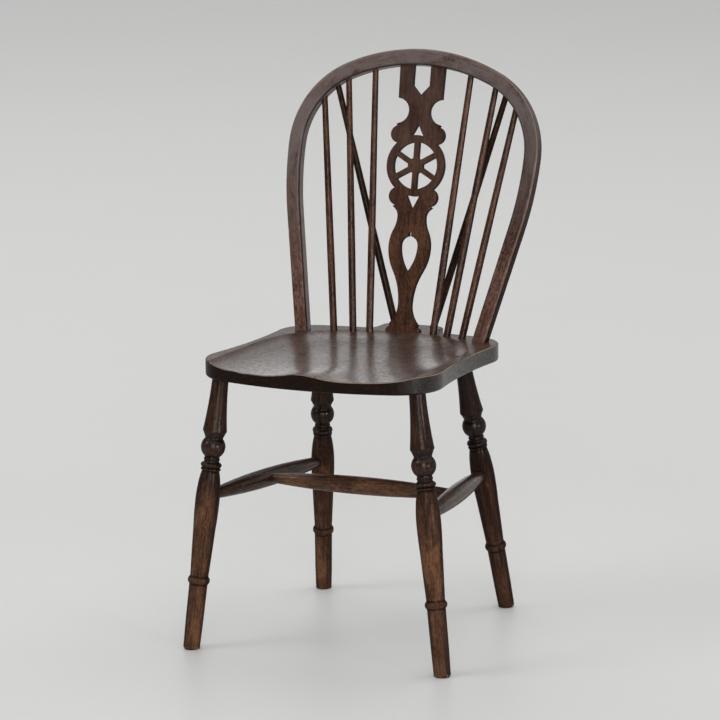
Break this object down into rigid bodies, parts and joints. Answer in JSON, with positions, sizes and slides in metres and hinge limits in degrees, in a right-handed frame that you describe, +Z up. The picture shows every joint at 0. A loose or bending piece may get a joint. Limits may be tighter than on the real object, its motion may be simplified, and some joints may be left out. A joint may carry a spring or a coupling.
{
  "type": "wheelback windsor chair",
  "caption": "Wooden side chair with a hooped bow back of round sticks and a pierced wheel splat, a saddled seat, and splayed turned legs joined by stretchers.",
  "frame": {"origin": "centre of the bounding box's footprint, on the floor", "axes": "+Z up, -Y the way the sitter faces, +X to the viewer's right when the chair is seen from its front"},
  "size_m": [0.4427, 0.4782, 0.8912],
  "materials": {
    "seat_wood": "dark stained and waxed elm, worn lighter along the front rim",
    "bow_wood": "dark stained, worn along the arrises",
    "splat_wood": "reddish dark stain, satin",
    "stick_wood": "dark stained, satin",
    "leg_wood": "dark stained, satin, turned"
  },
  "bodies": {
    "root": {"seat": "seat_wood", "bow": "bow_wood", "bow_wedge_left": "bow_wood", "bow_wedge_right": "bow_wood", "splat": "splat_wood", "stick_inner_left": "stick_wood", "stick_inner_right": "stick_wood", "stick_middle_left": "stick_wood", "stick_middle_right": "stick_wood", "stick_outer_left": "stick_wood", "stick_outer_right": "stick_wood", "brace_left": "stick_wood", "brace_right": "stick_wood", "leg_front_left": "leg_wood", "leg_front_right": "leg_wood", "leg_back_left": "leg_wood", "leg_back_right": "leg_wood", "stretcher_left": "leg_wood", "stretcher_right": "leg_wood", "stretcher_cross": "leg_wood"}
  },
  "joints": []
}
